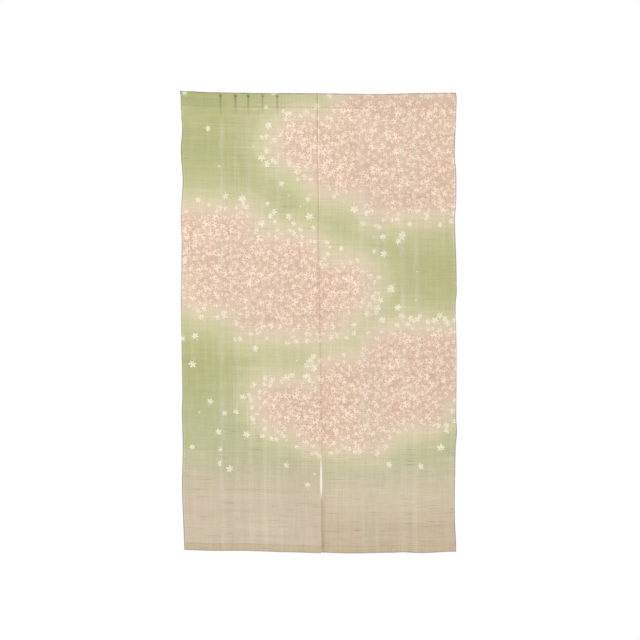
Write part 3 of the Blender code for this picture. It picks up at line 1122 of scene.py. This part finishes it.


# Thin lines along edges, most of them painted shade or highlight at the folds, seam and slit: a line's
# width, and the share of it over which the line shows in full
Line = namedtuple("Line", "width core")
SIDE_SHADE_LINE = Line(0.0046, 0.4)
FOOT_SHADE_LINE = Line(0.0075, 0.2)
TOP_SHADE_LINE = Line(0.0075, 0.1)
SEAM_SHADING_LINE = Line(0.0060, 0.2)
SLIT_SHADING_LINE = Line(0.0080, 0.2)
STITCH_LINE = Line(0.0026, 0.0)
HEM_STEP = 0.0004         # how sharply a hem's second layer starts to show
SLIT_HEM_SHARE = 0.30     # the hems at the middle show less than the foot's and the pocket's
CREST_FRONT = (-0.0050, 0.0010)    # places along the cloth, just over the top fold
SEAM_END = 0.002          # the seam gives way to the slit over twice this height
FOOT_REACH = 0.10         # how far above the foot hem its tones begin
PATCHY_EDGES = Patches((22.0, 22.0, 8.0), 3.0, 0.5, 0.30, 0.66, 0.45, 1.0)


def edge_line(group, distance, line):
    """A thin line, at a distance from an edge."""
    return smooth(group, distance, line.width, line.width * line.core)


def within(group, distance, limit):
    """A mask that ends sharply at a distance."""
    return smooth(group, distance, limit + HEM_STEP, limit - HEM_STEP)


def edge_group():
    """Where the cloth is doubled, the lines of painted shade and highlight along its folds, seam and slit,
    and its stitch lines, from the distances to its edges.
    """
    outputs = ["Doubled", "Side Hem", "Foot", "Seam", "Slit"]
    outputs += ["Top Shade Line", "Side Shade Line", "Foot Shade Line", "Stitch Line"]
    group, given, result = new_group("doubled_edges_and_painted_lines", ["From Edge", "Place"], [], outputs)
    sides = parts_of(group, given["From Edge"])
    outer, slit, foot = sides["X"], sides["Y"], sides["Z"]
    down = sums(group, "SUBTRACT", LENGTH, foot)
    doubled = smooth(group, slit, SIDE_HEM + HEM_STEP, SIDE_HEM - HEM_STEP, 0.0, SLIT_HEM_SHARE)
    for distance, limit in ((foot, FOOT_HEM), (down, POCKET_HEIGHT)):
        doubled = sums(group, "MAXIMUM", doubled, within(group, distance, limit))
    stitches = 0.0
    for distance, row in ((foot, FOOT_STITCHES), (down, POCKET_STITCHES)):
        line = edge_line(group, off_line(group, distance, row), STITCH_LINE)
        stitches = sums(group, "ADD", line, stitches)
    patchy = patchy_mask(group, given["From Edge"], PATCHY_EDGES)
    at_front = smooth(group, parts_of(group, given["Place"])["Y"], *CREST_FRONT)
    sewn = smooth(group, down, SEAM_LENGTH + SEAM_END, SEAM_LENGTH - SEAM_END)
    open_below = sums(group, "SUBTRACT", 1.0, sewn)
    masks = {
        "Doubled": doubled,
        "Side Hem": within(group, outer, SIDE_HEM),
        # painted shade on the front of the top fold
        "Top Shade Line": product(group, edge_line(group, down, TOP_SHADE_LINE), at_front, patchy),
        # painted shade along the turned side edges
        "Side Shade Line": product(group, edge_line(group, outer, SIDE_SHADE_LINE), patchy),
        # painted shade along the foot's fold
        "Foot Shade Line": edge_line(group, foot, FOOT_SHADE_LINE),
        "Stitch Line": product(group, stitches, patchy),
        # painted shade and highlight along the seam, on its front
        "Seam": product(group, edge_line(group, slit, SEAM_SHADING_LINE), sewn, at_front),
        # painted shade and highlight down the slit
        "Slit": product(group, edge_line(group, slit, SLIT_SHADING_LINE), open_below),
        "Foot": smooth(group, foot, FOOT_HEM + FOOT_REACH, FOOT_HEM),
    }
    for name, mask in masks.items():
        join(group, mask, result[name])
    return group


# Layers of strewn leaves, from the faintest to the clearest, and then a few small ones. In mist and outside
# are the shares of a layer's cells that hold a leaf, in the mist and, past its reach, away from it.
Layer = namedtuple("Layer", "cell seed size in_mist outside reach cover colour deep_colour")
LEAF_LAYERS = (
    Layer(0.0215, 3.34, 1.02, 1.00, 0.000, 0.015, 0.90, dye(247, 220, 198), dye(241, 213, 191)),
    Layer(0.0225, 8.40, 1.02, 0.95, 0.000, 0.025, 0.95, dye(250, 224, 202), dye(244, 217, 195)),
    Layer(0.0245, 7.18, 1.02, 0.75, 0.020, 0.075, 1.00, dye(253, 228, 207), dye(248, 221, 200)),
    Layer(0.0280, 5.96, 1.02, 0.45, 0.020, 0.100, 1.00, dye(255, 233, 211), dye(251, 227, 205)),
    Layer(0.0345, 2.20, 1.00, 0.20, 0.030, 0.170, 1.00, dye(255, 235, 214), dye(252, 229, 208)),
    Layer(0.0480, 9.30, 0.22, 0.20, 0.050, 0.100, 0.90, dye(252, 232, 212), dye(246, 222, 201)),
)
CREAM_LEAF = dye(242, 236, 210)
DEEPER_LEAVES = (0.50, 0.95)    # chances between which a leaf is of its layer's deep colour
VEIN_COLOUR = dye(200, 161, 135)
VEIN_STRENGTH = 0.80
RIM_COLOUR = dye(198, 164, 138)
RIM_STRENGTH = 0.62
PLAINER_OUTSIDE = 0.65    # how much fainter rims, veins and hearts are outside the mist
LEAVES_OUTSIDE = (MIST_RIM, 0.07)    # distances from the mist between which the leaves turn cream

HEMP_ROUGHNESS = 0.92
THREAD_SHINE = 0.06       # how much smoother the palest threads are
SHINY_TONES = (0.9, 1.1)    # tones of the weave between which it comes in
HEMP_SHEEN = 0.06
HEMP_GLOSS = 0.25
WEAVE_DEPTH = 0.00012
IN_MIST = (0.05, 0.0)     # distances from the mist between which doubled cloth takes the mist's tone

# Tones of doubled cloth and of the lines along its edges, of which the top, side and foot lines are painted
# shade
DOUBLED_TONE = (0.94, 0.955, 0.96, 1.0)
DOUBLED_IN_MIST = (0.95, 0.935, 0.925, 1.0)
SIDE_HEM_TONE = (1.07, 1.07, 1.18, 1.0)
# Painted shade along the front of the top fold's crest
TOP_PAINTED_SHADE = (0.40, 0.41, 0.50, 1.0)
# Painted shade along the turned side edges
SIDE_PAINTED_SHADE = (0.56, 0.59, 0.72, 1.0)
# Painted shade along the foot's fold
FOOT_PAINTED_SHADE = (0.80, 0.88, 1.00, 1.0)
STITCH_TONE = (0.88, 0.87, 0.87, 1.0)
SLIT_OPENS = (1.05, 0.12)    # heights above the foot between which the slit's painted shade and highlight change to the painted highlight of its foot
FOOT_PATCHES = Patches((5.0, 5.0, 0.0), 2.0, 0.5, 0.40, 0.62)

# Tones of each panel: painted shade on the left panel and painted highlight on the right along the seam and
# down the slit, painted highlights at the slit's foot, and the foot hem's own tones. The side is 1 where the
# panel lies to the right of the middle, and -1 where it lies to the left.
PanelTonesAndShading = namedtuple("PanelTonesAndShading", "side seam slit low_slit foot_hem warm_foot_hem")
PANEL_TONES_AND_SHADING = {
    "left": PanelTonesAndShading(
        # seam and slit: painted shade; slit's foot: painted highlight; then the foot hem's own tones
        -1.0, (0.75, 0.67, 0.65, 1.0), (0.95, 0.92, 0.91, 1.0), (1.07, 1.05, 1.04, 1.0),
        (0.91, 0.91, 0.81, 1.0), (0.96, 0.88, 0.83, 1.0)),
    "right": PanelTonesAndShading(
        # seam, slit and slit's foot: painted highlight, which lightens the shadow the left panel casts; then
        # the foot hem's own tones
        1.0, (1.21, 1.19, 1.17, 1.0), (1.18, 1.16, 1.15, 1.0), (1.40, 1.38, 1.36, 1.0),
        (0.98, 0.96, 0.90, 1.0), (1.03, 0.96, 0.92, 1.0)),
}


def new_material(name):
    material = bpy.data.materials.new(name)
    material.use_nodes = True
    tree = material.node_tree
    return material, tree, tree.nodes["Principled BSDF"]


def dyed_ground(tree, place, distance):
    """The dyed ground: pink mist over green, fading to beige at the foot."""
    sides = parts_of(tree, place)
    ground = ramp(tree, distance, MIST_TONES)
    deep = product(tree, patchy_mask(tree, place, DEEP_PATCHES), smooth(tree, distance, *DEEP_MIST))
    ground = blend(tree, deep, ground, MIST_DEEP)
    warmer = patchy_mask(tree, place, WARM_PATCHES)
    away = smooth(tree, distance, *AWAY_FROM_MIST)
    ground = blend(tree, product(tree, warmer, away), ground, WARM_GREEN)
    waver = swing(tree, texture(tree, place, FOOT_WAVER_WAVES))
    wavering = sums(tree, "MULTIPLY_ADD", waver, FOOT_WAVER, sides["Y"])
    to_right = smooth(tree, sides["X"], *RIGHT_PANEL)
    beige = blend(tree, to_right, FOOT_GROUND_LEFT, FOOT_GROUND_RIGHT)
    lowest = product(tree, smooth(tree, wavering, *LOWEST_ROWS), to_right)
    beige = blend(tree, lowest, beige, FOOT_LOWEST_RIGHT)
    paler = product(tree, smooth(tree, wavering, *FOOT_GREEN_ROWS, 0.0, FOOT_GREEN_STRENGTH), away)
    ground = blend(tree, paler, ground, FOOT_GREEN)
    ground = blend(tree, smooth(tree, wavering, *FOOT_ROWS), ground, beige)
    off_tide = off_line(tree, sides["Y"], TIDE_DOWN)
    tide = product(tree, smooth(tree, off_tide, TIDE_HALF, 0.0, 0.0, TIDE_STRENGTH), warmer)
    return blend(tree, tide, ground, TIDE_COLOUR)


def strew_leaves(tree, leaves, place, distance, ground):
    """The ground with its layers of leaves, which are pinker in the mist and plainer outside it."""
    out_of_mist = smooth(tree, distance, *LEAVES_OUTSIDE)
    plainer = sums(tree, "MULTIPLY_ADD", out_of_mist, -PLAINER_OUTSIDE, 1.0)
    veined = product(tree, plainer, VEIN_STRENGTH)
    for layer in LEAF_LAYERS:
        leaf = use_group(tree, leaves, {
            "Place": place, "Cell": layer.cell, "Seed": layer.seed, "In Mist": layer.in_mist,
            "Outside": layer.outside, "Reach": layer.reach, "Leaf Size": layer.size})
        deeper = smooth(tree, leaf["Chance"], *DEEPER_LEAVES)
        tint = blend(tree, deeper, layer.colour, layer.deep_colour)
        tint = blend(tree, out_of_mist, tint, CREAM_LEAF)
        tint = blend(tree, product(tree, leaf["Vein"], veined), tint, VEIN_COLOUR)
        rimmed = product(tree, plainer, RIM_STRENGTH * layer.cover)
        ground = blend(tree, product(tree, leaf["Rim"], rimmed), ground, RIM_COLOUR)
        ground = blend(tree, product(tree, leaf["Leaf"], layer.cover), ground, tint)
    return ground


def tone_edges(tree, edges, coordinates, colour, in_mist, panel_tones_and_shading):
    """A colour with its doubled layers, its stitch lines, painted shade at its folds, and painted shade and
    highlight along the seam and slit.
    """
    place, from_edge = coordinates
    hems = use_group(tree, edges, {"From Edge": from_edge, "Place": place})
    foot_patches = patchy_mask(tree, from_edge, FOOT_PATCHES)
    foot_hem = blend(tree, foot_patches, panel_tones_and_shading.foot_hem, panel_tones_and_shading.warm_foot_hem)
    doubled = blend(tree, in_mist, DOUBLED_TONE, DOUBLED_IN_MIST)
    low = smooth(tree, parts_of(tree, from_edge)["Z"], *SLIT_OPENS)
    slit = blend(tree, low, panel_tones_and_shading.slit, panel_tones_and_shading.low_slit)
    from_middle = product(tree, parts_of(tree, place)["X"], panel_tones_and_shading.side)
    in_front = smooth(tree, from_middle, -HEM_STEP, 0.0)
    tones = {
        "Doubled": blend(tree, hems["Foot"], doubled, foot_hem),
        "Side Hem": SIDE_HEM_TONE,
        # painted shade at the top fold
        "Top Shade Line": TOP_PAINTED_SHADE,
        # painted shade at the side edges
        "Side Shade Line": SIDE_PAINTED_SHADE,
        # painted shade at the foot
        "Foot Shade Line": FOOT_PAINTED_SHADE,
        "Stitch Line": STITCH_TONE,
        # painted shade on the left panel and painted highlight on the right, along the seam
        "Seam": blend(tree, in_front, WHITE, panel_tones_and_shading.seam),
        # and down the slit, where the right panel's painted highlight lightens the shadow the left one casts
        "Slit": blend(tree, in_front, WHITE, slit),
    }
    for mask, tone in tones.items():
        colour = multiply_where(tree, hems[mask], colour, tone)
    return colour


# How strongly the slubs show, at a distance down the cloth
SLUB_ROWS = (
    (0.00, 0.35),
    (0.34, 0.60),
    (0.50, 0.35),
    (1.00, 0.45),
    (1.15, 0.95),
    (1.30, 0.70),
    (1.42, 1.00),
    (1.50, 1.00),
)


def hemp_material(groups, panel_tones_and_shading):
    """Dyed hemp: mist bands over green, fading to beige at the foot, with strewn leaves, the weave, and
    painted shade and highlight at its folds, seam and slit.
    """
    mist, leaves, weave, streaks, edges = groups
    material, tree, shader = new_material("dyed_hemp")
    place = add_node(tree, "ShaderNodeAttribute", attribute_name="flat_cloth").outputs["Vector"]
    from_edge = add_node(tree, "ShaderNodeAttribute", attribute_name="from_edge").outputs["Vector"]
    down = parts_of(tree, place)["Y"]
    distance = use_group(tree, mist, {"Place": place})["Distance"]
    colour = strew_leaves(tree, leaves, place, distance, dyed_ground(tree, place, distance))

    drips = use_group(tree, streaks, {"Place": place})
    colour = blend(tree, product(tree, drips["Pale"], PALE_STRENGTH), colour, PALE_STREAK)
    colour = blend(tree, product(tree, drips["Dark"], DARK_STRENGTH), colour, DARK_DRIP)

    slubs = ramp(tree, down, [(row, (strength, strength, strength, 1.0)) for row, strength in SLUB_ROWS])
    threads = use_group(tree, weave, {"Place": place, "Thread Pitch": THREAD_PITCH, "Slubs": slubs})
    colour = scaled(tree, colour, threads["Tone"])
    in_mist = smooth(tree, distance, *IN_MIST)
    colour = tone_edges(tree, edges, (place, from_edge), colour, in_mist, panel_tones_and_shading)

    bump = add_node(tree, "ShaderNodeBump",
                    {"Height": threads["Height"], "Strength": 1.0, "Distance": WEAVE_DEPTH})
    smoothest = HEMP_ROUGHNESS - THREAD_SHINE
    roughness = smooth(tree, threads["Tone"], *SHINY_TONES, HEMP_ROUGHNESS, smoothest)
    join(tree, colour, shader.inputs["Base Color"])
    join(tree, roughness, shader.inputs["Roughness"])
    join(tree, bump.outputs["Normal"], shader.inputs["Normal"])
    shader.inputs["Sheen Weight"].default_value = HEMP_SHEEN
    shader.inputs["Specular IOR Level"].default_value = HEMP_GLOSS
    return material


# Sewing thread, twisted from plies
TWIST_WAVES = (900.0, 900.0, 2400.0)
TWIST_SHADE = 0.86
TWIST_BUMP = 0.6
TWIST_DEPTH = 0.0001
THREAD_ROUGHNESS = 0.8


def thread_material(name, colour):
    """Twisted sewing thread."""
    material, tree, shader = new_material(name)
    place = add_node(tree, "ShaderNodeTexCoord").outputs["Object"]
    twist = texture(tree, place, TWIST_WAVES, detail=1.0)
    shade = (*(level * TWIST_SHADE for level in colour[:3]), 1.0)
    bump = add_node(tree, "ShaderNodeBump",
                    {"Height": twist, "Strength": TWIST_BUMP, "Distance": TWIST_DEPTH})
    join(tree, blend(tree, twist, shade, colour), shader.inputs["Base Color"])
    join(tree, bump.outputs["Normal"], shader.inputs["Normal"])
    shader.inputs["Roughness"].default_value = THREAD_ROUGHNESS
    shader.inputs["Sheen Weight"].default_value = HEMP_SHEEN
    return material


# Camera, light and floor
LENS = 85.0
SENSOR = 36.0
VIEW_WIDTH = 2.088
VIEW_CENTRE = (0.0041, CLOTH_PLANE, -0.7409)
FLOOR_DOWN = -2.0
FLOOR_RADIUS = 0.95
FLOOR_SIDES = 64
FLOOR_COLOUR = (0.95, 0.95, 0.95, 1.0)
FLOOR_ROUGHNESS = 0.9
KEY_PLACE = (-2.2, -3.6, 1.3)
KEY_SIZE = 2.6
KEY_POWER = 62.0


def add_camera():
    """A camera level with the middle of the view, square on to the cloth."""
    camera = bpy.data.objects.new("camera", bpy.data.cameras.new("camera"))
    camera.data.lens = LENS
    camera.data.sensor_width = SENSOR
    away = VIEW_WIDTH * LENS / SENSOR
    camera.location = Vector(VIEW_CENTRE) - Vector((0.0, away, 0.0))
    camera.rotation_euler = (math.pi / 2, 0.0, 0.0)
    bpy.context.scene.collection.objects.link(camera)
    bpy.context.scene.camera = camera


def add_lights():
    """A white room and one large soft light from the upper left of the front."""
    world = bpy.data.worlds.new("white_room")
    world.use_nodes = True
    background = world.node_tree.nodes["Background"]
    background.inputs["Color"].default_value = WHITE
    background.inputs["Strength"].default_value = 1.0
    bpy.context.scene.world = world
    key = bpy.data.objects.new("key_light", bpy.data.lights.new("key_light", "AREA"))
    key.data.shape = "SQUARE"
    key.data.size = KEY_SIZE
    key.data.energy = KEY_POWER
    key.location = KEY_PLACE
    key.rotation_euler = (Vector(VIEW_CENTRE) - Vector(KEY_PLACE)).to_track_quat("-Z", "Y").to_euler()
    key.visible_camera = False
    bpy.context.scene.collection.objects.link(key)


def add_floor():
    """A plain pale floor."""
    disc = bmesh.new()
    bmesh.ops.create_circle(disc, cap_ends=True, segments=FLOOR_SIDES, radius=FLOOR_RADIUS)
    bmesh.ops.translate(disc, verts=disc.verts, vec=(0.0, 0.0, FLOOR_DOWN))
    mesh = bpy.data.meshes.new("floor")
    disc.to_mesh(mesh)
    disc.free()
    material, tree, shader = new_material("pale_floor")
    shader.inputs["Base Color"].default_value = FLOOR_COLOUR
    shader.inputs["Roughness"].default_value = FLOOR_ROUGHNESS
    mesh.materials.append(material)
    floor = bpy.data.objects.new("floor", mesh)
    bpy.context.scene.collection.objects.link(floor)


# Making
for old in list(bpy.data.objects):
    if old.type in ("CAMERA", "LIGHT"):
        bpy.data.objects.remove(old)
bpy.context.scene.view_settings.view_transform = "Standard"
add_camera()
add_lights()
add_floor()

PANELS = (
    Panel("left", ("left_panel", "left_rod_pocket"), outer_left, slit_left, -PANEL_WIDTH, True,
          LEFT_FOLDS, LEFT_CORNERS, LEFT_PUCKERS, 2.3),
    Panel("right", ("right_panel", "right_rod_pocket"), slit_right, outer_right, 0.0, False,
          RIGHT_FOLDS, RIGHT_CORNERS, RIGHT_PUCKERS, 2.3),
)

mist_bands = mist_group()
shared_groups = (mist_bands, leaf_group(mist_bands), weave_group(), streak_group(), edge_group())
hemp_thread = thread_material("hemp_thread", dye(236, 224, 200))
pink_thread = thread_material("pink_thread", dye(250, 228, 208))
sewing = stitch_tree()

flat_length = float(np.ptp(sheet_section().flat))
for panel in PANELS:
    cloth = add_cloth(panel, hemp_material(shared_groups, PANEL_TONES_AND_SHADING[panel.name]))
    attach(cloth, "root")
    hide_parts(*panel.nodes)
    stitches = sew_panel(panel, sewing, hemp_thread)
    if panel.name == "left":
        stitches += sew_middle(panel, sewing, hemp_thread, pink_thread)
    for piece in stitches:
        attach(piece, "root")
